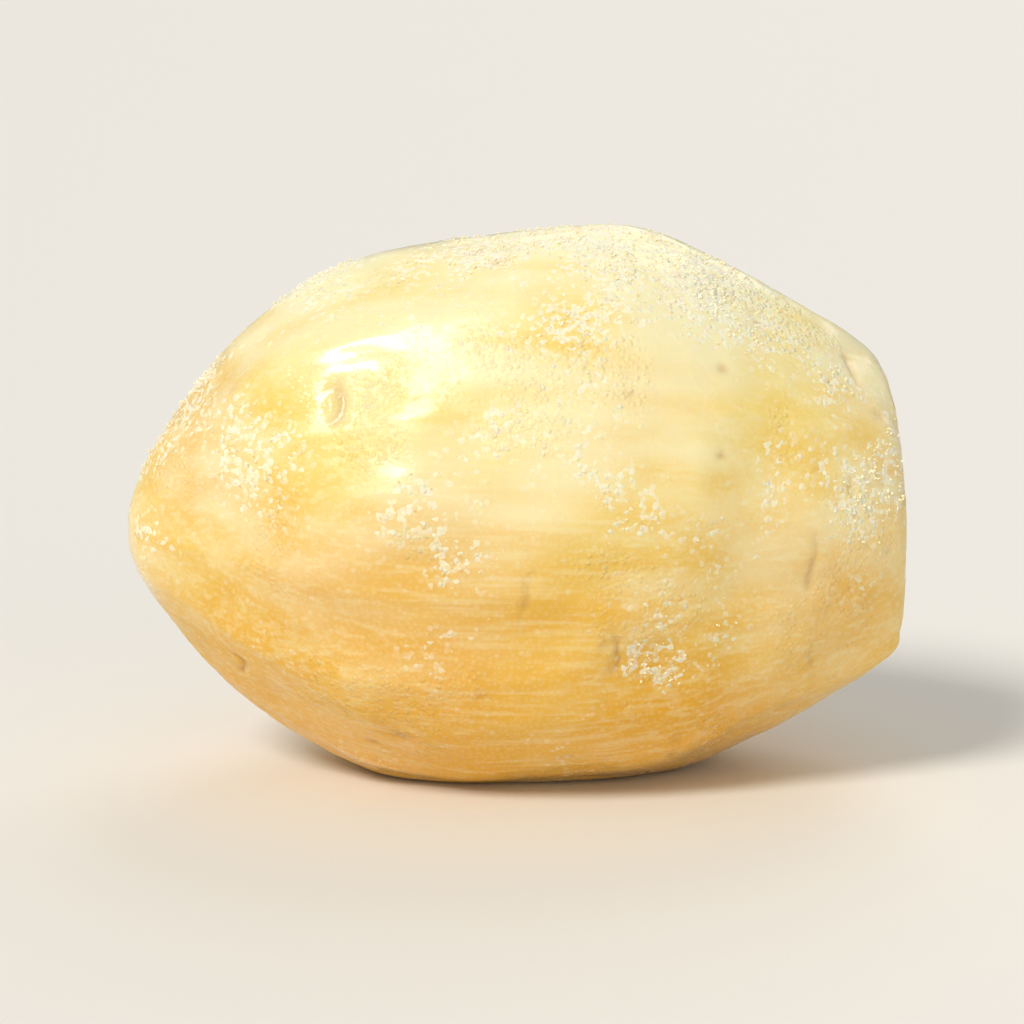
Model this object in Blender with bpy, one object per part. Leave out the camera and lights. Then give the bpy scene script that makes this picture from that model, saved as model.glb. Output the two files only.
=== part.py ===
# Peeled piece of arracacha root, pre-cooked and frozen, lying on its side.
# It grew as one body, so it is one solid. Its length runs along X: the rounded tip is at -X
# and the crown end, trimmed square with a knife, is at +X. It rests on a small flat spot.
# The origin is the middle of its bounding box at the height of the surface that it lies on.
#
# The surface is worked out from the directions of a sphere's points. "along" is a place on
# the root's length, from -1 at the tip to 1 at the crown before trimming, and "angle" is the
# turn round the X axis from +Y, in radians.

import math
import random

import bmesh
import bpy
from mathutils import Vector, noise

# Driving dimensions, in metres
LENGTH = 0.068
DEPTH = 0.043
HEIGHT = 0.048
TRIMMED_LENGTH = 0.0072  # the crown that the knife took off the round of the root
CUT_ROUNDING = 0.0011  # how far from the cut's plane its rim begins to round
REST_DEPTH = 0.0021  # how far the underside is flattened where the root lies
REST_ROUNDING = 0.0006

# The sphere's triangles are about 2 mm wide once it is stretched to the root
SPHERE_SUBDIVISIONS = 5

# The cut leans a little away from square: its normal, before normalising
CUT_NORMAL = Vector((1.0, 0.10, 0.05))

# The root narrows to both ends more than an ellipsoid does: (share, where it begins, where it is full)
TIP_TAPER = (0.20, 0.40, 1.0)
CROWN_TAPER = (0.135, 0.10, 0.85)

# Bow of the root's centre line at its middle, sideways and upwards
BOW_SIDE = 0.0016
BOW_UP = 0.0004

# Peeling: long shallow flats left by the knife, side by side round the root
PEEL_SEED = 11
PEEL_STROKES = 9
PEEL_DEPTH = (0.0005, 0.0010)
PEEL_JITTER = 0.13  # radians
PEEL_HALF_WIDTH = (0.44, 0.56)  # radians
PEEL_START = (-0.72, -0.45)
PEEL_END = (0.35, 1.00)
PEEL_FADE = 0.27

# Growth: the root's section isn't round. (share of the girth, lobes, turn in radians, twist along)
SECTION_LOBES = (
    (0.020, 2, 0.7, 0.0),
    (0.016, 3, 0.0, 2.0),
)

# Swellings and lumps of the flesh: (height, size across, place in the noise)
GROWTH = (
    (0.0010, 0.019, Vector((3.1, 0.4, 7.7))),
    (0.00042, 0.0075, Vector((9.2, 5.5, 1.3))),
)

# Shallow hollows where thin side roots grew: (along, angle in degrees, radius, depth)
SIDE_ROOT_SCARS = (
    (-0.42, 143.0, 0.0044, 0.0011),
    (0.22, 206.0, 0.0038, 0.0009),
    (0.36, 52.0, 0.0048, 0.0010),
    (-0.12, 322.0, 0.0042, 0.0010),
    (-0.66, 236.0, 0.0036, 0.0008),
)

# Faint rings round the root: (along, half width along, depth, angle where it is deepest in radians)
GROWTH_RINGS = (
    (-0.58, 0.055, 0.00042, -0.9),
    (-0.16, 0.045, 0.00032, -0.5),
    (0.48, 0.060, 0.00042, 3.7),
)
RING_WANDER = 0.05
RING_FADE = 0.45  # share of a ring's depth that comes and goes round the root

FLESH_COLOUR = (0.83, 0.68, 0.36, 1.0)
FLESH_ROUGHNESS = 0.48


def clear_scene():
    for obj in list(bpy.data.objects):
        bpy.data.objects.remove(obj)


def smooth_step(low, high, value):
    share = min(max((value - low) / (high - low), 0.0), 1.0)
    return share * share * (3 - 2 * share)


def rounded_floor(height, rounding):
    """The height, or 0 where it is below 0, with a round bend from one to the other."""
    in_bend = min(max(height + rounding, 0.0), 2 * rounding)
    return in_bend * in_bend / (4 * rounding) + max(height - rounding, 0.0)


def peel_strokes():
    """One dictionary for each stroke of the knife: where it lies round the root and along it."""
    draw = random.Random(PEEL_SEED)
    strokes = []
    for index in range(PEEL_STROKES):
        strokes.append({
            "angle": math.tau * index / PEEL_STROKES + draw.uniform(-PEEL_JITTER, PEEL_JITTER),
            "half_width": draw.uniform(*PEEL_HALF_WIDTH),
            "depth": draw.uniform(*PEEL_DEPTH),
            "start": draw.uniform(*PEEL_START),
            "end": draw.uniform(*PEEL_END),
        })
    return strokes


def peel_depth(along, angle, strokes):
    """Depth here of the flats, each deepest along its middle and rounded into the next."""
    depth = 0.0
    for stroke in strokes:
        away = abs((angle - stroke["angle"] + math.pi) % math.tau - math.pi)
        if away >= stroke["half_width"]:
            continue
        across = (1 + math.cos(math.pi * away / stroke["half_width"])) / 2
        begun = smooth_step(stroke["start"] - PEEL_FADE, stroke["start"] + PEEL_FADE, along)
        ended = smooth_step(stroke["end"] - PEEL_FADE, stroke["end"] + PEEL_FADE, along)
        depth += stroke["depth"] * across * begun * (1 - ended)
    return depth


def growth_height(point):
    """Swellings and lumps of the flesh, out from the smooth body."""
    return sum(height * noise.noise(point / size + place) for height, size, place in GROWTH)


def scar_depth(point, half):
    """Depth here of the hollows left by side roots. half holds the body's half sizes."""
    depth = 0.0
    for along, degrees, radius, deepest in SIDE_ROOT_SCARS:
        ring = math.sqrt(1 - along * along)
        turn = math.radians(degrees)
        middle = Vector((
            half.x * along,
            half.y * ring * math.cos(turn),
            half.z * ring * math.sin(turn),
        ))
        depth += deepest * math.exp(-((point - middle).length / radius) ** 2)
    return depth


def ring_depth(along, angle):
    """Depth here of the faint growth rings, which wander and fade round the root."""
    depth = 0.0
    for place, half_width, deepest, deepest_angle in GROWTH_RINGS:
        from_ring = along - place - RING_WANDER * math.sin(2 * angle + deepest_angle)
        strength = 1 - RING_FADE + RING_FADE * math.cos(angle - deepest_angle)
        depth += deepest * strength * math.exp(-((from_ring / half_width) ** 2))
    return depth


def girth_share(along, angle):
    """The girth here as a share of the ellipsoid's: narrower to both ends, and not quite round."""
    share, begins, full = TIP_TAPER
    girth = 1 - share * smooth_step(begins, full, -along)
    share, begins, full = CROWN_TAPER
    girth -= share * smooth_step(begins, full, along)
    for share, lobes, turn, twist in SECTION_LOBES:
        girth *= 1 + share * math.cos(lobes * angle + turn + twist * along)
    return girth


def root_point(direction, half, strokes):
    """The root's surface in a direction on the unit sphere, before its crown is trimmed."""
    along = direction.x
    angle = math.atan2(direction.z, direction.y)
    girth = girth_share(along, angle)
    bow = 1 - along * along
    point = Vector((
        half.x * along,
        half.y * direction.y * girth + BOW_SIDE * bow,
        half.z * direction.z * girth + BOW_UP * bow,
    ))
    outward = Vector((direction.x / half.x, direction.y / half.y, direction.z / half.z)).normalized()
    height = growth_height(point) - peel_depth(along, angle, strokes)
    height -= scar_depth(point, half) + ring_depth(along, angle)
    return point + outward * height


def trim_crown(point, half):
    """Brings what stands past the knife's plane back to it, with a rounded rim."""
    normal = CUT_NORMAL.normalized()
    on_plane = Vector((half.x - TRIMMED_LENGTH, 0.0, 0.0))
    short_of_plane = (on_plane - point).dot(normal)
    return point - normal * (rounded_floor(short_of_plane, CUT_ROUNDING) - short_of_plane)


def flatten_underside(points):
    """Lifts the lowest points to one level, which becomes z = 0."""
    level = min(point.z for point in points) + REST_DEPTH
    for point in points:
        point.z = rounded_floor(point.z - level, REST_ROUNDING)


def fit_to_size(points):
    """Centres the points over the origin and stretches them to the driving dimensions."""
    low = Vector(min(point[axis] for point in points) for axis in range(3))
    high = Vector(max(point[axis] for point in points) for axis in range(3))
    size = high - low
    for point in points:
        point.x = (point.x - (low.x + high.x) / 2) * LENGTH / size.x
        point.y = (point.y - (low.y + high.y) / 2) * DEPTH / size.y
        point.z = (point.z - low.z) * HEIGHT / size.z


def flesh_material():
    material = bpy.data.materials.new("arracacha_flesh")
    material.use_nodes = True
    shader = material.node_tree.nodes["Principled BSDF"]
    shader.inputs["Base Color"].default_value = FLESH_COLOUR
    shader.inputs["Roughness"].default_value = FLESH_ROUGHNESS
    shader.inputs["Metallic"].default_value = 0.0
    return material


def make_root():
    half = Vector(((LENGTH + TRIMMED_LENGTH) / 2, DEPTH / 2, HEIGHT / 2))
    strokes = peel_strokes()
    shape = bmesh.new()
    bmesh.ops.create_icosphere(shape, subdivisions=SPHERE_SUBDIVISIONS, radius=1.0)
    points = []
    for vertex in shape.verts:
        grown = root_point(vertex.co.normalized(), half, strokes)
        points.append(trim_crown(grown, half))
    flatten_underside(points)
    fit_to_size(points)
    for vertex, point in zip(shape.verts, points):
        vertex.co = point
    bmesh.ops.recalc_face_normals(shape, faces=shape.faces)

    mesh = bpy.data.meshes.new("arracacha_root")
    shape.to_mesh(mesh)
    shape.free()
    mesh.materials.append(flesh_material())
    mesh.shade_smooth()
    root = bpy.data.objects.new("arracacha_root", mesh)
    bpy.context.scene.collection.objects.link(root)


clear_scene()
make_root()
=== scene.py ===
# A peeled, cooked and frozen piece of arracacha root on a pale studio floor.
# The root lies along X: rounded tip at -X, knife-trimmed crown at +X. Sizes are in metres.

import math
import random

import bpy
import numpy as np
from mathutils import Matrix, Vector, noise


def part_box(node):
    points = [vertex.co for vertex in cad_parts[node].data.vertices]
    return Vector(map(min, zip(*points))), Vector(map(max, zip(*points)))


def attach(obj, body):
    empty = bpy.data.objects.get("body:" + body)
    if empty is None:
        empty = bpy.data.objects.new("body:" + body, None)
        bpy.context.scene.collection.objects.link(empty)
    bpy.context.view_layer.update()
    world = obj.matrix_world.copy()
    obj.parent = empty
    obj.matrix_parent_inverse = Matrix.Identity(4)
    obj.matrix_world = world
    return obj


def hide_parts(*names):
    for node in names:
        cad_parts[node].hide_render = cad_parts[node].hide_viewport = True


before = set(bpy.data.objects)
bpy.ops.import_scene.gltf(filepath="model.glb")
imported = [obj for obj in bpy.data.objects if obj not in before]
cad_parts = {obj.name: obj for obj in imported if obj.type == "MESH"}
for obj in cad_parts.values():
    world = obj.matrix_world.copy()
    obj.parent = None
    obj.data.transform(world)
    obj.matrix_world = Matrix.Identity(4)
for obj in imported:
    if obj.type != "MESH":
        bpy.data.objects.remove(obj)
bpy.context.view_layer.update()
mm = 0.001
print("frame loaded")


def linearColour(code):
    # "#rrggbb" as it looks on a screen, to the linear numbers that Blender works in
    channels = [int(code[place:place + 2], 16) / 255 for place in (1, 3, 5)]
    linear = [c / 12.92 if c <= 0.04045 else ((c + 0.055) / 1.055) ** 2.4 for c in channels]
    return (*linear, 1.0)


def addNode(tree, kind, inputs=None, **settings):
    # one shader node; its inputs are numbers, "#rrggbb" colours or the outputs of other nodes
    node = tree.nodes.new("ShaderNode" + kind)
    for name, value in settings.items():
        setattr(node, name, value)
    for socket, value in (inputs or {}).items():
        if isinstance(value, bpy.types.NodeSocket):
            tree.links.new(value, node.inputs[socket])
        elif isinstance(value, str):
            node.inputs[socket].default_value = linearColour(value)
        else:
            node.inputs[socket].default_value = value
    return node


def newMaterial(name, values):
    # a Principled material with these values on its sockets; returns it, its tree and its shader
    material = bpy.data.materials.new(name)
    material.use_nodes = True
    tree = material.node_tree
    shader = tree.nodes["Principled BSDF"]
    for socket, value in values.items():
        shader.inputs[socket].default_value = value
    return material, tree, shader


def smoothStep(low, high, value):
    # 0 up to low, 1 from high and smooth between; low may also be the higher of the two
    share = np.clip((value - low) / (high - low), 0.0, 1.0)
    return share * share * (3 - 2 * share)


def hump(away, width):
    # 1 in the middle, and about a third at one width away
    return np.exp(-(away / width) ** 2)


def meshPoints(mesh):
    points = np.empty(len(mesh.vertices) * 3, np.float32)
    mesh.vertices.foreach_get("co", points)
    return points.reshape(-1, 3).astype(float)


def meshNormals(mesh):
    normals = np.empty(len(mesh.vertices) * 3, np.float32)
    mesh.vertex_normals.foreach_get("vector", normals)
    return normals.reshape(-1, 3).astype(float)


def movePoints(mesh, points):
    mesh.vertices.foreach_set("co", points.astype(np.float32).ravel())
    mesh.update()


def smoothed(mesh, values, passes, strength=0.5):
    # moves each vertex's value towards the mean of its neighbours' a number of times
    ends = np.empty(len(mesh.edges) * 2, np.int32)
    mesh.edges.foreach_get("vertices", ends)
    first, second = ends.reshape(-1, 2).T
    count = len(mesh.vertices)
    neighbours = np.bincount(first, minlength=count) + np.bincount(second, minlength=count)
    columns = values.reshape(count, -1).copy()
    for _ in range(passes):
        for column in range(columns.shape[1]):
            along = columns[:, column]
            total = np.bincount(first, along[second], count) + np.bincount(second, along[first], count)
            columns[:, column] = along + strength * (total / neighbours - along)
    return columns.reshape(values.shape)


def storeValue(mesh, name, values):
    layer = mesh.attributes.new(name, "FLOAT", "POINT")
    layer.data.foreach_set("value", values.astype(np.float32))


# The flesh keeps the solid's form and adds what a step nearer shows.
# A pair is the least and the most of a random draw, or where a smooth change begins and is full.
flesh = {
    "voxel": 0.37 * mm,  # the finest form that the mesh holds
    "weld": 0.001 * mm,
    "roundingLevels": 2,  # these two take the solid's facets away
    "roundingPasses": 22,
    "inset": 0.30 * mm,  # room inside the solid's box for ridges, grain and frost
    "clearance": 0.02 * mm,  # what stays free inside the box at the least
    "lying": (0.55 * mm, 0.10 * mm),  # heights where the flat that it lies on begins and is full
    "laidFlat": 0.10 * mm,  # what would end lower than this is laid on the floor
    "swellHeight": 0.20 * mm,
    "lumpHeight": 0.07 * mm,
    "swellLost": 0.7,  # share of these two that the cut and the flat underneath lack

    # mealy starch where the outer flesh is rubbed off, and long fibres that the peeler left standing
    "mealy": {
        "edges": 0.55,  # smaller patches, which make the edges ragged
        "range": (0.12, 0.55),
        "cut": 0.8,  # how much more mealy the cut and its rim are
        "rim": 0.5,
        "grainHeight": 0.085 * mm,
        "fineGrain": 0.4,  # share of the grain that is fine
        "smoothGrain": 0.15,  # share of the grain's height where the flesh isn't mealy
        "fibreHeight": 0.035 * mm,
        "fibresLost": 0.6,  # share of their height that mealy flesh lacks
    },

    # flats left by the peeler, which meet in soft ridges
    "strokes": {
        "seed": 5,
        "count": 60,
        "reach": 0.9,  # they begin within this share of the half length, to both sides
        "turn": 2.4,  # radians from one to the next, which spreads them evenly round the root
        "turnJitter": 0.2,  # radians
        "lean": 9.0,  # radians of turn for each metre along the root, at most
        "halfLength": (9.0 * mm, 24.0 * mm),
        "halfWidth": (3.0 * mm, 5.4 * mm),
        "flatness": (0.75, 1.25),  # 1 is flat across, and more is a little hollow
        "softening": 2,  # passes that round the ridges
    },

    # short cross-wise slits that every such root has; the seed is for the pits too
    "creases": {
        "seed": 2,
        "count": 22,
        "reach": 7.0 * mm,  # nothing further from its middle belongs to a crease
        "halfLength": (1.4 * mm, 4.2 * mm),
        "width": (0.24 * mm, 0.36 * mm),
        "depth": (0.12 * mm, 0.30 * mm),
        "stain": (0.2, 0.9),
        "bend": 0.05 / mm,  # these two either way, at most
        "lean": 0.25,
        "wander": 0.45 * mm,
        "gaps": (-0.45, 0.15),  # noise below the first breaks a crease off
    },

    # where hair roots left the flesh
    "pits": {
        "count": 34,
        "lengthCount": (0.6, 1.0),  # how far a step along the root counts: pits are longer that way
        "radius": (0.28 * mm, 0.55 * mm),
        "depth": (0.08 * mm, 0.22 * mm),
        "stain": (0.1, 1.0),
    },

    # stubs of thin side roots: place along, degrees round from +Y, radius
    "eyes": {
        "places": [
            (-15.0 * mm, 143.0, 1.2 * mm),
            (8.0 * mm, 206.0, 1.1 * mm),
            (13.0 * mm, 52.0, 1.4 * mm),
            (-4.0 * mm, 322.0, 1.2 * mm),
            (-24.0 * mm, 236.0, 0.9 * mm),
        ],
        "length": 0.7,  # shares of the radius: an eye is wider than long
        "width": 1.3,
        "raggedness": 0.4,
        "knobSize": 0.55,
        "knobHeight": 0.14 * mm,
        "knobStain": 0.35,
        "grooveWidth": 0.32,
        "grooveDepth": 0.22 * mm,
        "grooveEvenness": 0.6,  # at 1 it is whole, and the next two make it come and go
        "grooveCrownward": 0.5,
        "grooveGaps": 0.8,
        "grooveLeast": 0.05,
        "grooveStain": 0.7,
    },

    # the crown's cut face; "share" is a share of the way from its middle to its rim
    "cutFace": {
        "normal": (1.0, 0.10, 0.05),
        "behind": (0.75 * mm, 0.15 * mm),  # depths behind the knife's plane where the face begins
        "rimRange": (0.4, 1.0),  # of a measure that is 1 halfway from the peeled side to the face
        "sectors": 64,  # the rim's distance is kept for each
        "wobble": 0.10,
        "raggedness": 0.05,
        "coreShare": (0.42, 0.12),
        "coreDepth": 0.28 * mm,  # how far the soft core sank in cooking
        "coreColourShare": (0.50, 0.25),
        "cracks": [(0.4, 0.52), (2.3, 0.40), (4.1, 0.46)],  # turn round the core, share that it reaches
        "crackWidth": 0.24 * mm,
        "crackDepth": 0.40 * mm,
        "crackWander": 0.5 * mm,
        "crackTaper": 0.5,  # share of its reach where a crack begins to close
        "crackStain": 0.8,
        "dragHeight": 0.05 * mm,  # lines that the knife drew
        "rimWear": 0.22 * mm,
        "ringShare": 0.68,
        "ringHalfWidth": 0.055,
        "rays": 9.0,  # about how many noise swellings fit in one radian of turn
        "rayChange": 1.2,  # and how many from the middle to the rim
        "rayRange": (0.0, 0.5),
        "rayShare": (0.15, 0.4),
        "ducts": 60,  # oil ducts outside the ring, which show as small dots
        "ductSeed": 3,
        "ductShare": (0.74, 0.94),
        "ductRadius": (0.22 * mm, 0.36 * mm),
        "ductStrength": 0.9,
    },

    # frost, and what it likes: each of these says how much more of it grows there
    "frost": {
        "patches": 0.50,
        "edges": 0.22,
        "upwards": 0.24,
        "rim": 0.26,
        "cut": -0.16,
        "hollows": 0.12,
        "hollowPasses": 90,  # a hollow is where the surface smoothed this often stands above the real one
        "hollowDepth": 0.06 * mm,
        "share": 0.07,  # how much of the root has thick frost
        "fade": 0.42,  # wider is a softer edge
        "height": 0.10 * mm,
        "evenness": 0.35,
    },

    # how golden the flesh is: low on the root most. Its clouds and streaks are the flesh's own tone; the
    # rise of gold lower down is painted shade and painted warm reflected light
    "gold": {
        "start": 0.86,
        # more gold lower down: painted shade and painted reflected light
        "upwards": -1.25,
        "towardsCrown": -0.06,
        "clouds": 0.34,
        "streaks": 0.16,
        "range": (-0.25, 0.85),
        "lostOnCut": 0.6,
    },

    # how yellow the rest of it is: its clouds and streaks are the flesh's own tone, and it is paler cream
    # towards the top and yellower lower down, which is painted light and painted shade
    "tone": {
        "start": 0.5,
        # paler towards the top: painted light; yellower low down: painted shade
        "upwards": -1.0,
        "streaks": 0.5,
        "range": (-0.75, 0.75),
    },

    # where the ice film is
    "ice": {
        "edges": 0.3,
        "range": (-0.45, 0.45),
    },

    # noise fields: size across, place in the noise so that no two are alike, and stretch along X, Y and Z
    "fields": {
        "swellings": (7.0 * mm, 3.7, (1, 1, 1)),
        "lumps": (2.4 * mm, 12.8, (1, 1, 1)),
        "creaseWander": (1.9 * mm, 71.0, (1, 1, 1)),
        "creaseGaps": (1.5 * mm, 76.0, (1, 1, 1)),
        "mealyPatches": (9.0 * mm, 17.3, (1, 1, 1)),
        "mealyEdges": (3.1 * mm, 4.4, (1, 1, 1)),
        "grain": (0.80 * mm, 8.8, (1, 1, 1)),
        "fineGrain": (0.40 * mm, 2.1, (1, 1, 1)),
        "fibres": (0.85 * mm, 12.6, (11, 1, 1)),
        "eyeEdges": (1.3 * mm, 29.0, (1, 1, 1)),
        "cutWobble": (5.0 * mm, 81.0, (1, 1, 1)),
        "cutEdges": (1.6 * mm, 84.0, (1, 1, 1)),
        "crackWander": (2.2 * mm, 0.4, (1, 1, 1)),
        "rays": (1.0, 15.0, (1, 1, 1)),  # read by direction round the core, so its size is no length
        "drag": (0.7 * mm, 90.0, (1, 1, 12)),
        "rimWear": (1.7 * mm, 93.0, (1, 1, 1)),
        "frostPatches": (9.5 * mm, 34.9, (1, 1, 1)),  # read where the gloss at the upper left stays clear
        "frostEdges": (3.4 * mm, 27.0, (1, 1, 1)),
        "rime": (0.75 * mm, 33.0, (1, 1, 1)),
        "goldClouds": (14.0 * mm, 41.0, (1, 1, 1)),
        "streaks": (2.3 * mm, 57.0, (5, 1, 1)),
        "toneClouds": (10.0 * mm, 52.0, (1, 1, 1)),
        "icePatches": (10.0 * mm, 61.0, (1, 1, 1)),
        "iceEdges": (2.6 * mm, 66.0, (1, 1, 1)),
    },

    # colours, strengths and scales of the material
    "finish": {
        "cream": "#FBF0C2",
        "yellow": "#F4D974",
        "yellowStrength": 1.0,
        "gold": "#EBAF2A",
        "goldStrength": 0.95,  # a strength is the most that its colour covers
        "frost": "#FCF6DE",
        "frostStrength": 0.80,
        "stain": "#B58A4C",
        "stainStrength": 0.50,
        "face": "#F8DA8E",
        "faceStrength": 0.85,
        "core": "#F9E8B4",
        "coreStrength": 1.0,
        "ring": "#E4B456",
        "ringStrength": 0.45,
        "rayStrength": 0.24,
        "fibreSize": 0.55 * mm,  # true fibres are finer, and would not show
        "fibreLength": 14.0,  # times their width
        "fibreRange": (0.45, 0.70),
        "fibreStrength": 0.25,
        "grainSize": 0.42 * mm,  # grains of cooked starch and of thin frost, in the clumps that show
        "grainEdge": (0.70, 0.10),  # how far from its middle a grain begins to rise and is highest
        "grainStrength": 0.16,
        "grainUnevenness": (0.15, 1.1),  # each grain's own height
        "starchHeight": 0.10,  # these two in millimetres, as the Bump node's distance is one millimetre
        "rimeHeight": 0.11,
        "rimeRange": (-0.06, 0.22),  # frost over a grain's own number that shows, and that covers it
        "smoothStarch": 0.15,
        "lightDepth": 2.8 * mm,  # how far red light goes in
        "lightColours": (1.0, 0.64, 0.27),  # how far the others go, as shares of it
        "lightShare": 0.5,
        "waxyRoughness": 0.42,
        "icyRoughness": 0.24,
        "frostRoughness": 0.75,
        "filmRoughness": 0.12,
        "film": (0.95, 0.25),  # thickness of the ice film on smooth and on mealy flesh
        "fleshIor": 1.40,
        "iceIor": 1.31,
    },
}


def noiseField(points, name):
    # smooth noise from about -1 to 1 at each point
    size, place, stretch = flesh["fields"][name]
    scaled = points / (size * np.array(stretch)) + place
    return np.array([noise.noise(spot) for spot in scaled.tolist()])


def roundedCopy(node):
    # the solid's mesh with its facets rounded off, in even faces of about one voxel
    mesh = node.data.copy()
    mesh.materials.clear()
    copy = bpy.data.objects.new("flesh_source", mesh)
    bpy.context.scene.collection.objects.link(copy)
    weld = copy.modifiers.new("weld", "WELD")
    weld.merge_threshold = flesh["weld"]
    rounder = copy.modifiers.new("rounder", "SUBSURF")
    rounder.levels = rounder.render_levels = flesh["roundingLevels"]
    remesh = copy.modifiers.new("remesh", "REMESH")
    remesh.mode = "VOXEL"
    remesh.voxel_size = flesh["voxel"]
    remesh.use_smooth_shade = True
    bpy.context.view_layer.update()
    made = bpy.data.meshes.new_from_object(copy.evaluated_get(bpy.context.evaluated_depsgraph_get()))
    bpy.data.objects.remove(copy)
    made.name = "root_flesh"
    movePoints(made, smoothed(made, meshPoints(made), flesh["roundingPasses"]))
    return made


def turnedFrom(turn, angle):
    # the turn from an angle, between half a turn back and half a turn on
    return (turn - angle + math.pi) % math.tau - math.pi


def strokeDepth(points, turn, girth):
    # how deep the peeler's strokes went at each vertex
    strokes = flesh["strokes"]
    draw = random.Random(strokes["seed"])
    depth = np.zeros(len(points))
    halfLength = abs(points[:, 0]).max()
    for index in range(strokes["count"]):
        start = draw.uniform(-strokes["reach"], strokes["reach"]) * halfLength
        angle = index * strokes["turn"] + draw.uniform(-strokes["turnJitter"], strokes["turnJitter"])
        lean = draw.uniform(-1, 1) * strokes["lean"]
        along = (points[:, 0] - start) / draw.uniform(*strokes["halfLength"])
        away = turnedFrom(turn, angle + lean * (points[:, 0] - start))
        halfWidth = draw.uniform(*strokes["halfWidth"])
        deepest = draw.uniform(*strokes["flatness"]) * halfWidth ** 2 / (2 * girth.max())
        stroke = np.clip(1 - (away * girth / halfWidth) ** 2, 0, 1) * np.clip(1 - along ** 4, 0, 1)
        depth = np.maximum(depth, deepest * stroke)
    return depth


def creaseMarks(points, normals, places, draw):
    # the depth of the creases at each vertex, and how far they colour it
    creases = flesh["creases"]
    depth, stain = np.zeros(len(points)), np.zeros(len(points))
    wander = creases["wander"] * noiseField(points, "creaseWander")
    gaps = smoothStep(*creases["gaps"], noiseField(points, "creaseGaps"))
    for _ in range(creases["count"]):
        spot = draw.choice(places)
        across = np.cross((1.0, 0.0, 0.0), normals[spot])
        across /= np.linalg.norm(across)
        away = points - points[spot]
        near = np.linalg.norm(away, axis=1) < creases["reach"]
        halfLength = draw.uniform(*creases["halfLength"])
        bend = draw.uniform(-creases["bend"], creases["bend"])
        lean = draw.uniform(-creases["lean"], creases["lean"])
        u = away @ across
        v = away[:, 0] - bend * u * u - lean * u - wander
        shape = hump(v, draw.uniform(*creases["width"]))
        shape *= np.clip(1 - (u / halfLength) ** 2, 0, 1) * near * gaps
        depth += draw.uniform(*creases["depth"]) * shape
        stain = np.maximum(stain, shape * draw.uniform(*creases["stain"]))
    return depth, stain


def pitMarks(points, places, draw):
    pits = flesh["pits"]
    depth, stain = np.zeros(len(points)), np.zeros(len(points))
    for _ in range(pits["count"]):
        spot = draw.choice(places)
        away = (points - points[spot]) * np.array((draw.uniform(*pits["lengthCount"]), 1.0, 1.0))
        shape = hump(np.linalg.norm(away, axis=1), draw.uniform(*pits["radius"]))
        depth += draw.uniform(*pits["depth"]) * shape
        stain = np.maximum(stain, shape * draw.uniform(*pits["stain"]))
    return depth, stain


def eyeMarks(points, turn, girth):
    # an eye is a low knob with a groove most of the way round it, deepest towards the crown
    eyes = flesh["eyes"]
    depth, stain = np.zeros(len(points)), np.zeros(len(points))
    edges = noiseField(points, "eyeEdges")
    for place, degrees, radius in eyes["places"]:
        u = (points[:, 0] - place) / (eyes["length"] * radius)
        v = turnedFrom(turn, math.radians(degrees)) * girth / (eyes["width"] * radius)
        away = np.hypot(u, v) * (1 + eyes["raggedness"] * edges) + 0.01  # never 0, as it divides below
        knob = hump(away, eyes["knobSize"])
        whole = eyes["grooveEvenness"] + eyes["grooveCrownward"] * u / away + eyes["grooveGaps"] * edges
        groove = hump(away - 1, eyes["grooveWidth"]) * np.clip(whole, eyes["grooveLeast"], 1)
        depth += eyes["grooveDepth"] * groove - eyes["knobHeight"] * knob
        stain = np.maximum(stain, eyes["grooveStain"] * groove + eyes["knobStain"] * knob)
    return depth, stain


def mealyCover(points, cut, rim):
    # how mealy each vertex is, from 0 to 1
    mealy = flesh["mealy"]
    cover = noiseField(points, "mealyPatches") + mealy["edges"] * noiseField(points, "mealyEdges")
    return np.clip(smoothStep(*mealy["range"], cover) + mealy["cut"] * cut + mealy["rim"] * rim, 0, 1)


def grainRelief(points, cover):
    mealy = flesh["mealy"]
    grain = (1 - mealy["fineGrain"]) * noiseField(points, "grain")
    grain += mealy["fineGrain"] * noiseField(points, "fineGrain")
    return mealy["grainHeight"] * grain * (mealy["smoothGrain"] + (1 - mealy["smoothGrain"]) * cover)


def fibreRelief(points, cover):
    mealy = flesh["mealy"]
    return mealy["fibreHeight"] * noiseField(points, "fibres") * (1 - mealy["fibresLost"] * cover)


def cutPlaces(points, cut, normal):
    # where each vertex is on the cut: across it, its turn round the core, its share of the way to the rim
    cutFace = flesh["cutFace"]
    across = np.cross(normal, (0.0, 0.0, 1.0))
    across /= np.linalg.norm(across)
    away = points - points[cut > 0.5].mean(axis=0)
    u, v = away @ across, away @ np.cross(across, normal)
    turn = np.arctan2(v, u)
    sectors = cutFace["sectors"]
    sector = ((turn + math.pi) / math.tau * sectors).astype(int) % sectors
    rim = np.zeros(sectors)
    np.maximum.at(rim, sector[cut > 0.5], np.hypot(u, v)[cut > 0.5])
    share = np.hypot(u, v) / np.maximum(rim[sector], 1 * mm)
    share *= (1 + cutFace["wobble"] * noiseField(points, "cutWobble")
              + cutFace["raggedness"] * noiseField(points, "cutEdges"))
    return u, v, turn, np.clip(share, 0, 2)


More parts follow.
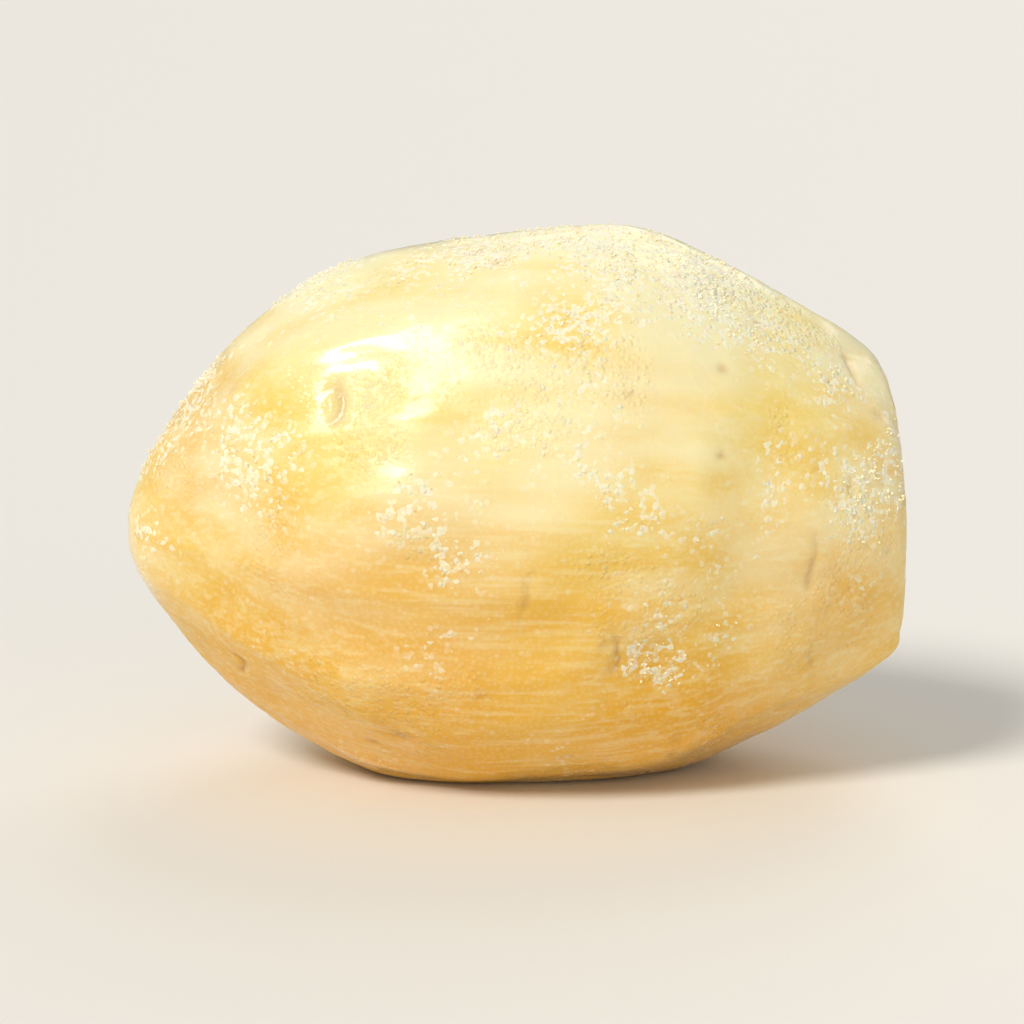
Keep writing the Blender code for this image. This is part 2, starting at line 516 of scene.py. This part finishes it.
def cutRelief(points, cut, rim, normal):
    # a sunken core, cracks that run out from it, drag lines of the knife, and a worn rim; with its colours
    cutFace = flesh["cutFace"]
    u, v, turn, share = cutPlaces(points, cut, normal)
    height = -cut * cutFace["coreDepth"] * smoothStep(*cutFace["coreShare"], share)
    crack = np.zeros(len(points))
    wander = cutFace["crackWander"] * noiseField(points, "crackWander")
    for angle, reach in cutFace["cracks"]:
        along = u * math.cos(angle) + v * math.sin(angle)
        aside = v * math.cos(angle) - u * math.sin(angle) + wander
        shape = hump(aside, cutFace["crackWidth"]) * smoothStep(reach, cutFace["crackTaper"] * reach, share)
        crack = np.maximum(crack, shape * (along > 0) * cut)
    height -= cutFace["crackDepth"] * crack
    height += cutFace["dragHeight"] * cut * noiseField(points, "drag")
    height -= cutFace["rimWear"] * rim * np.clip(noiseField(points, "rimWear"), 0, 1)

    ring = hump(share - cutFace["ringShare"], cutFace["ringHalfWidth"])
    around = (cutFace["rays"] * np.cos(turn), cutFace["rays"] * np.sin(turn), cutFace["rayChange"] * share)
    rays = smoothStep(*cutFace["rayRange"], noiseField(np.stack(around, axis=1), "rays"))
    rays *= smoothStep(*cutFace["rayShare"], share)
    least, most = cutFace["ductShare"]
    outer = np.flatnonzero((cut > 0.9) & (share > least) & (share < most))
    draw = random.Random(cutFace["ductSeed"])
    ducts = np.zeros(len(points))
    for _ in range(cutFace["ducts"]):
        away = np.linalg.norm(points - points[draw.choice(outer)], axis=1)
        ducts = np.maximum(ducts, hump(away, draw.uniform(*cutFace["ductRadius"])))
    colours = {
        "ring": np.maximum(ring, cutFace["ductStrength"] * ducts),
        "rays": rays,
        "core": smoothStep(*cutFace["coreColourShare"], share),
    }
    return height, crack, colours


def frostCover(mesh, points, normals, rim, cut):
    # how thick the frost is at each vertex, from 0 to 1
    frost = flesh["frost"]
    hollow = ((smoothed(mesh, points, frost["hollowPasses"]) - points) * normals).sum(axis=1)
    cover = frost["patches"] * noiseField(points, "frostPatches")
    cover += frost["edges"] * noiseField(points, "frostEdges")
    cover += frost["upwards"] * normals[:, 2] + frost["rim"] * rim + frost["cut"] * cut
    cover += frost["hollows"] * np.clip(hollow / frost["hollowDepth"], -1, 1)
    level = np.quantile(cover, 1 - frost["share"])
    return smoothStep(level - frost["fade"], level + frost["fade"], cover)


def frostRelief(points, cover):
    frost = flesh["frost"]
    rime = 0.5 + 0.5 * noiseField(points, "rime")
    return frost["height"] * cover * (frost["evenness"] + (1 - frost["evenness"]) * rime)


def fleshColours(points, cut):
    # how golden, how yellow and how icy each vertex is; high is 1 at the top of the root. Gold and yellow
    # grow lower down and the top turns paler, which is painted shade and painted light on top of the
    # flesh's own clouds and streaks
    gold, tone, ice = flesh["gold"], flesh["tone"], flesh["ice"]
    crownward = points[:, 0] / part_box("arracacha_root")[1][0]
    high = points[:, 2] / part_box("arracacha_root")[1][2]
    streaks = noiseField(points, "streaks")
    goldAndPaintedShade = gold["start"] + gold["upwards"] * high + gold["towardsCrown"] * crownward
    goldAndPaintedShade += gold["clouds"] * noiseField(points, "goldClouds") + gold["streaks"] * streaks
    yellow = noiseField(points, "toneClouds") + tone["streaks"] * streaks
    yellow += tone["start"] + tone["upwards"] * high
    icy = noiseField(points, "icePatches") + ice["edges"] * noiseField(points, "iceEdges")
    return {
        "gold": smoothStep(*gold["range"], goldAndPaintedShade) * (1 - gold["lostOnCut"] * cut),
        "tone": smoothStep(*tone["range"], yellow),
        "icy": smoothStep(*ice["range"], icy),
    }


def makeFlesh():
    mesh = roundedCopy(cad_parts["arracacha_root"])
    points, normals = meshPoints(mesh), meshNormals(mesh)
    print("flesh remeshed:", len(points), "vertices")

    # how far each vertex is on the cut, on its rim, on the flat that it lies on, and on the peeled side
    cutNormal = np.array(flesh["cutFace"]["normal"]) / np.linalg.norm(flesh["cutFace"]["normal"])
    behindCut = (points @ cutNormal).max() - points @ cutNormal
    cut = smoothStep(*flesh["cutFace"]["behind"], behindCut)
    rim = smoothStep(*flesh["cutFace"]["rimRange"], 4 * cut * (1 - cut))
    lying = smoothStep(*flesh["lying"], points[:, 2] - points[:, 2].min())
    side = (1 - cut) * (1 - lying)
    middle = points.mean(axis=0)
    turn = np.arctan2(points[:, 2] - middle[2], points[:, 1] - middle[1])
    girth = np.hypot(points[:, 2] - middle[2], points[:, 1] - middle[1])

    # the peeler's flats, and the marks
    peeled = smoothed(mesh, strokeDepth(points, turn, girth), flesh["strokes"]["softening"])
    draw = random.Random(flesh["creases"]["seed"])
    places = np.flatnonzero(side > 0.5)
    creaseDepth, creaseStain = creaseMarks(points, normals, places, draw)
    pitDepth, pitStain = pitMarks(points, places, draw)
    eyeDepth, eyeStain = eyeMarks(points, turn, girth)
    height = (peeled.mean() - peeled - creaseDepth - pitDepth - eyeDepth) * side

    # swellings, mealy grain and fibres
    swelling = flesh["swellHeight"] * noiseField(points, "swellings")
    swelling += flesh["lumpHeight"] * noiseField(points, "lumps")
    height += swelling * (1 - flesh["swellLost"] * lying) * (1 - flesh["swellLost"] * cut)
    mealy = mealyCover(points, cut, rim)
    height += grainRelief(points, mealy) * (1 - lying)
    height += fibreRelief(points, mealy) * side

    # the cut face and the frost
    cutHeight, crack, cutColours = cutRelief(points, cut, rim, cutNormal)
    frosted = frostCover(mesh, points, normals, rim, cut) * (1 - lying)
    height += cutHeight + frostRelief(points, frosted)

    # moved out along the normals, set on the floor and kept inside the solid's box
    low, high = (np.array(corner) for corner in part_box("arracacha_root"))
    points = points + normals * (height - flesh["inset"] * (1 - lying))[:, None]
    points[:, 2] -= points[:, 2].min()
    points = np.clip(points, low + flesh["clearance"], high - flesh["clearance"])
    points[:, 2] = np.where(points[:, 2] < flesh["laidFlat"], 0.0, points[:, 2])
    movePoints(mesh, points)
    mesh.shade_smooth()
    print("flesh shaped")

    stain = np.maximum.reduce((creaseStain, pitStain, eyeStain, flesh["cutFace"]["crackStain"] * crack))
    values = {"cut": cut, "stain": stain, "mealy": mealy, "frost": frosted}
    for name, value in {**values, **cutColours, **fleshColours(points, cut)}.items():
        storeValue(mesh, name, value)
    root = bpy.data.objects.new("root_flesh", mesh)
    bpy.context.scene.collection.objects.link(root)
    return root


# The flesh is soft root boiled and blast frozen: starch and water under a film of ice. Light goes a few
# millimetres in, so shadows are warm and soft, and the ice film gives it a wet-looking gloss that the
# frosted patches lack. All of it is drawn from the root's own coordinates, so it wraps every side.
def fleshMaterial():
    look = flesh["finish"]
    material, tree, shader = newMaterial("boiled and blast frozen arracacha flesh", {
        "IOR": look["fleshIor"],
        "Subsurface Weight": look["lightShare"],
        "Subsurface Radius": look["lightColours"],
        "Subsurface Scale": look["lightDepth"],
        "Coat IOR": look["iceIor"],
        "Coat Roughness": look["filmRoughness"],
    })
    places = addNode(tree, "TexCoord").outputs["Object"]
    worked = {}
    for name in ("cut", "ring", "rays", "core", "stain", "mealy", "gold", "frost", "tone", "icy"):
        worked[name] = addNode(tree, "Attribute", attribute_name=name).outputs["Fac"]

    # the fine patterns, each on coordinates counted in its own size
    patterns = {}
    for name, kind, size, stretch, detail in (
            ("fibres", "TexNoise", look["fibreSize"], look["fibreLength"], 1.0),
            ("grains", "TexVoronoi", look["grainSize"], 1.0, 0.0)):
        scale = (1 / (size * stretch), 1 / size, 1 / size)
        counted = addNode(tree, "Mapping", {"Vector": places, "Scale": scale}).outputs["Vector"]
        patterns[name] = addNode(tree, kind, {"Vector": counted, "Scale": 1.0, "Detail": detail}).outputs
    fibres = addNode(tree, "MapRange", {
        "Value": patterns["fibres"][0],
        "From Min": look["fibreRange"][0],
        "From Max": look["fibreRange"][1],
    }, interpolation_type="SMOOTHSTEP").outputs[0]
    dome = addNode(tree, "MapRange", {
        "Value": patterns["grains"]["Distance"],
        "From Min": look["grainEdge"][0],
        "From Max": look["grainEdge"][1],
    }, interpolation_type="SMOOTHSTEP").outputs[0]

    # frost thins out grain by grain: each grain has its own number, and is white where the frost is over it
    own = addNode(tree, "SeparateColor", {"Color": patterns["grains"]["Color"]}).outputs
    over = addNode(tree, "Math", {0: worked["frost"], 1: own[0]}, operation="SUBTRACT").outputs[0]
    rimed = addNode(tree, "MapRange", {
        "Value": over,
        "From Min": look["rimeRange"][0],
        "From Max": look["rimeRange"][1],
    }).outputs[0]

    # the cut crown has its own colours: a paler core, soft rays and a darker ring under the outer flesh
    face = look["face"]
    for name, strength, shade in (
            ("core", look["coreStrength"], look["core"]),
            ("rays", look["rayStrength"], look["gold"]),
            ("ring", look["ringStrength"], look["ring"])):
        amount = addNode(tree, "Math", {0: worked[name], 1: strength}, operation="MULTIPLY").outputs[0]
        face = addNode(tree, "MixRGB", {"Fac": amount, "Color1": face, "Color2": shade}).outputs[0]

    # the gold and tone masks hold painted shade low on the root and painted light on top, besides the
    # flesh's own clouds and streaks
    colour = look["cream"]
    for factor, strength, shade in (
            (worked["tone"], look["yellowStrength"], look["yellow"]),
            (worked["gold"], look["goldStrength"], look["gold"]),
            (fibres, look["fibreStrength"], look["cream"]),
            (worked["cut"], look["faceStrength"], face),
            (dome, look["grainStrength"], look["cream"]),
            (worked["stain"], look["stainStrength"], look["stain"]),
            (rimed, look["frostStrength"], look["frost"])):
        amount = addNode(tree, "Math", {0: factor, 1: strength}, operation="MULTIPLY").outputs[0]
        colour = addNode(tree, "MixRGB", {"Fac": amount, "Color1": colour, "Color2": shade}).outputs[0]
    tree.links.new(colour, shader.inputs["Base Color"])

    # ice film: clear and glossy in places, thin on mealy flesh, none under frost
    bare = addNode(tree, "Math", {0: 1.0, 1: rimed}, operation="SUBTRACT").outputs[0]
    film = addNode(tree, "Math", {0: worked["icy"], 1: bare}, operation="MULTIPLY").outputs[0]
    waxy = addNode(tree, "MapRange", {
        "Value": film,
        "To Min": look["waxyRoughness"],
        "To Max": look["icyRoughness"],
    }).outputs[0]
    roughness = addNode(tree, "MapRange", {
        "Value": rimed,
        "To Min": waxy,
        "To Max": look["frostRoughness"],
    }).outputs[0]
    tree.links.new(roughness, shader.inputs["Roughness"])
    thickness = addNode(tree, "MapRange", {
        "Value": worked["mealy"],
        "To Min": look["film"][0],
        "To Max": look["film"][1],
    }).outputs[0]
    coat = addNode(tree, "Math", {0: film, 1: thickness}, operation="MULTIPLY").outputs[0]
    tree.links.new(coat, shader.inputs["Coat Weight"])

    # relief finer than the mesh: each grain is a small dome of its own height, higher on mealy flesh and
    # highest as frost
    uneven = addNode(tree, "MapRange", {
        "Value": own[1],
        "To Min": look["grainUnevenness"][0],
        "To Max": look["grainUnevenness"][1],
    }).outputs[0]
    uneven = addNode(tree, "Math", {0: uneven, 1: dome}, operation="MULTIPLY").outputs[0]
    starch = addNode(tree, "MapRange", {
        "Value": worked["mealy"],
        "To Min": look["smoothStarch"] * look["starchHeight"],
        "To Max": look["starchHeight"],
    }).outputs[0]
    tall = addNode(tree, "Math", {0: rimed, 1: look["rimeHeight"], 2: starch}, operation="MULTIPLY_ADD")
    relief = addNode(tree, "Math", {0: uneven, 1: tall.outputs[0]}, operation="MULTIPLY").outputs[0]
    bump = addNode(tree, "Bump", {"Height": relief, "Strength": 1.0, "Distance": 1 * mm})
    tree.links.new(bump.outputs["Normal"], shader.inputs["Normal"])
    return material


root = makeFlesh()
root.data.materials.append(fleshMaterial())
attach(root, "root")
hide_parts("arracacha_root")
print("flesh made")


# Frost crystals that stand out of the frosted patches, each a small six-sided prism with a point
crystals = {
    "seed": 12,
    "count": 4200,
    "sides": 6,
    "radius": (0.07 * mm, 0.17 * mm),
    "length": (0.22 * mm, 0.52 * mm),
    "leastGrown": 0.5,  # share of its size that a crystal has where there is no frost
    "shoulder": 0.72,  # share of its length where the point begins
    "shoulderWidth": 0.86,
    "sunkShare": 0.68,  # of its length, below the flesh's surface
    "lean": 0.9,  # sideways for each step outwards, at most
    "scatter": 0.5 * flesh["voxel"],  # sideways from the vertex that each grows at, at most
    "leastFrost": 0.12,
    "gathering": 1.5,  # more brings them closer to the middles of the patches

    "finish": {
        "thin": "#FFF2C4",
        "thick": "#FFFCEC",
        "thickRange": (0.7, 1.5),
        "clumpSize": 1.1 * mm,
        "roughness": 0.30,
        "ior": 1.31,
    },
}


def makeCrystals(root):
    draw = np.random.default_rng(crystals["seed"])
    points, normals = meshPoints(root.data), meshNormals(root.data)
    frost = np.empty(len(points), np.float32)
    root.data.attributes["frost"].data.foreach_get("value", frost)
    chance = np.clip(frost - crystals["leastFrost"], 0, 1) ** crystals["gathering"]
    count, sides = crystals["count"], crystals["sides"]
    spots = draw.choice(len(points), count, p=chance / chance.sum())

    # each crystal's own axes: outwards with a lean, and two across it
    outward = normals[spots] + crystals["lean"] * draw.uniform(-1, 1, (count, 3))
    outward /= np.linalg.norm(outward, axis=1)[:, None]
    across = np.cross(outward, draw.uniform(-1, 1, (count, 3)))
    across /= np.linalg.norm(across, axis=1)[:, None]
    beside = np.cross(outward, across)
    grown = crystals["leastGrown"] + (1 - crystals["leastGrown"]) * frost[spots][:, None]
    radius = draw.uniform(*crystals["radius"], count)[:, None] * grown
    length = draw.uniform(*crystals["length"], count)[:, None] * grown
    base = points[spots] + crystals["scatter"] * draw.uniform(-1, 1, (count, 3))
    base = base - outward * length * crystals["sunkShare"]

    # two rings of corners and a tip
    corners = []
    for level, width in ((0.0, 1.0), (crystals["shoulder"], crystals["shoulderWidth"])):
        for corner in range(sides):
            angle = math.tau * corner / sides
            aside = across * math.cos(angle) + beside * math.sin(angle)
            corners.append(base + outward * length * level + aside * radius * width)
    corners.append(base + outward * length)
    corners = np.stack(corners, axis=1)
    low, high = (np.array(corner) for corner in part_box("arracacha_root"))
    inside = ((corners > low) & (corners < high)).all(axis=(1, 2))
    corners, thickness = corners[inside], frost[spots][inside]

    faces = []
    each = 2 * sides + 1
    for first in range(0, len(corners) * each, each):
        faces.append([first + corner for corner in reversed(range(sides))])
        for corner in range(sides):
            following = (corner + 1) % sides
            faces.append([first + corner, first + following,
                          first + sides + following, first + sides + corner])
            faces.append([first + sides + corner, first + sides + following, first + 2 * sides])
    mesh = bpy.data.meshes.new("frost_crystals")
    mesh.from_pydata(corners.reshape(-1, 3).tolist(), [], faces)
    storeValue(mesh, "thickness", np.repeat(thickness, each))
    made = bpy.data.objects.new("frost_crystals", mesh)
    bpy.context.scene.collection.objects.link(made)
    print("frost crystals:", len(thickness))
    return made


# Freezer frost: ice grown from vapour, white where it is thick and tinted by the flesh where it is thin.
# Its flat faces catch the light one by one, so it glitters a little.
def frostMaterial():
    look = crystals["finish"]
    material, tree, shader = newMaterial("freezer frost grown on the flesh", {
        "IOR": look["ior"],
        "Roughness": look["roughness"],
    })
    places = addNode(tree, "TexCoord").outputs["Object"]
    counted = addNode(tree, "Mapping", {"Vector": places, "Scale": (1 / look["clumpSize"],) * 3}).outputs[0]
    clumps = addNode(tree, "TexNoise", {"Vector": counted, "Scale": 1.0, "Detail": 1.0}).outputs[0]
    thickness = addNode(tree, "Attribute", attribute_name="thickness").outputs["Fac"]
    amount = addNode(tree, "Math", {0: clumps, 1: thickness}, operation="ADD").outputs[0]
    amount = addNode(tree, "MapRange", {
        "Value": amount,
        "From Min": look["thickRange"][0],
        "From Max": look["thickRange"][1],
    }).outputs[0]
    colour = addNode(tree, "MixRGB", {"Fac": amount, "Color1": look["thin"], "Color2": look["thick"]})
    tree.links.new(colour.outputs[0], shader.inputs["Base Color"])
    return material


frostPiece = makeCrystals(root)
frostPiece.data.materials.append(frostMaterial())
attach(frostPiece, "root")
print("frost made")


# Studio: a pale floor that runs out of sight, one wide soft light and two weaker ones
studio = {
    "floorSize": 30.0,
    "floorLevel": -0.03 * mm,  # just under the root, so that the two don't share a plane
    "floorColour": "#EDEBE6",
    "floorRoughness": 0.7,
    "worldColour": "#F4F3F0",
    "worldStrength": 0.44,
    "lights": [  # name, direction it comes from, width in degrees, strength, colour
        ("key", (-0.52, -0.60, 0.80), 18.0, 2.10, "#FFFAF2"),
        ("fill", (0.35, -0.90, 0.18), 50.0, 0.35, "#FBF9F6"),
        ("back", (0.25, 0.85, 0.80), 40.0, 0.55, "#FFFFFF"),
    ],
    "target": (0.0, 0.0, 0.0225),
    "azimuth": 0.0,
    "elevation": 10.5,
    "lens": 110.0,
    "seenWidth": 0.090,
    "nearest": 0.01,
}


def makeFloor():
    mesh = bpy.data.meshes.new("floor")
    half, level = studio["floorSize"] / 2, studio["floorLevel"]
    corners = [(-half, -half, level), (half, -half, level), (half, half, level), (-half, half, level)]
    mesh.from_pydata(corners, [], [(0, 1, 2, 3)])
    floor = bpy.data.objects.new("floor", mesh)
    bpy.context.scene.collection.objects.link(floor)
    mesh.materials.append(newMaterial("matt painted floor", {
        "Base Color": linearColour(studio["floorColour"]),
        "Roughness": studio["floorRoughness"],
    })[0])


def makeLights():
    world = bpy.data.worlds.new("studio")
    world.use_nodes = True
    background = world.node_tree.nodes["Background"]
    background.inputs["Color"].default_value = linearColour(studio["worldColour"])
    background.inputs["Strength"].default_value = studio["worldStrength"]
    bpy.context.scene.world = world
    bpy.context.scene.view_settings.view_transform = "Standard"
    for name, towards, width, strength, colour in studio["lights"]:
        sun = bpy.data.lights.new(name, "SUN")
        sun.angle = math.radians(width)
        sun.energy = strength
        sun.color = linearColour(colour)[:3]
        light = bpy.data.objects.new(name, sun)
        light.rotation_euler = (-Vector(towards)).to_track_quat("-Z", "Y").to_euler()
        bpy.context.scene.collection.objects.link(light)


def makeCamera():
    camera = bpy.data.objects.new("camera", bpy.data.cameras.new("camera"))
    camera.data.lens = studio["lens"]
    camera.data.clip_start = studio["nearest"]
    distance = studio["seenWidth"] * studio["lens"] / camera.data.sensor_width
    turn, lift = math.radians(studio["azimuth"]), math.radians(studio["elevation"])
    towards = Vector((-math.sin(turn) * math.cos(lift), -math.cos(turn) * math.cos(lift), math.sin(lift)))
    camera.location = Vector(studio["target"]) + towards * distance
    camera.rotation_euler = (-towards).to_track_quat("-Z", "Y").to_euler()
    bpy.context.scene.collection.objects.link(camera)
    bpy.context.scene.camera = camera


makeFloor()
makeLights()
makeCamera()
print("studio made")
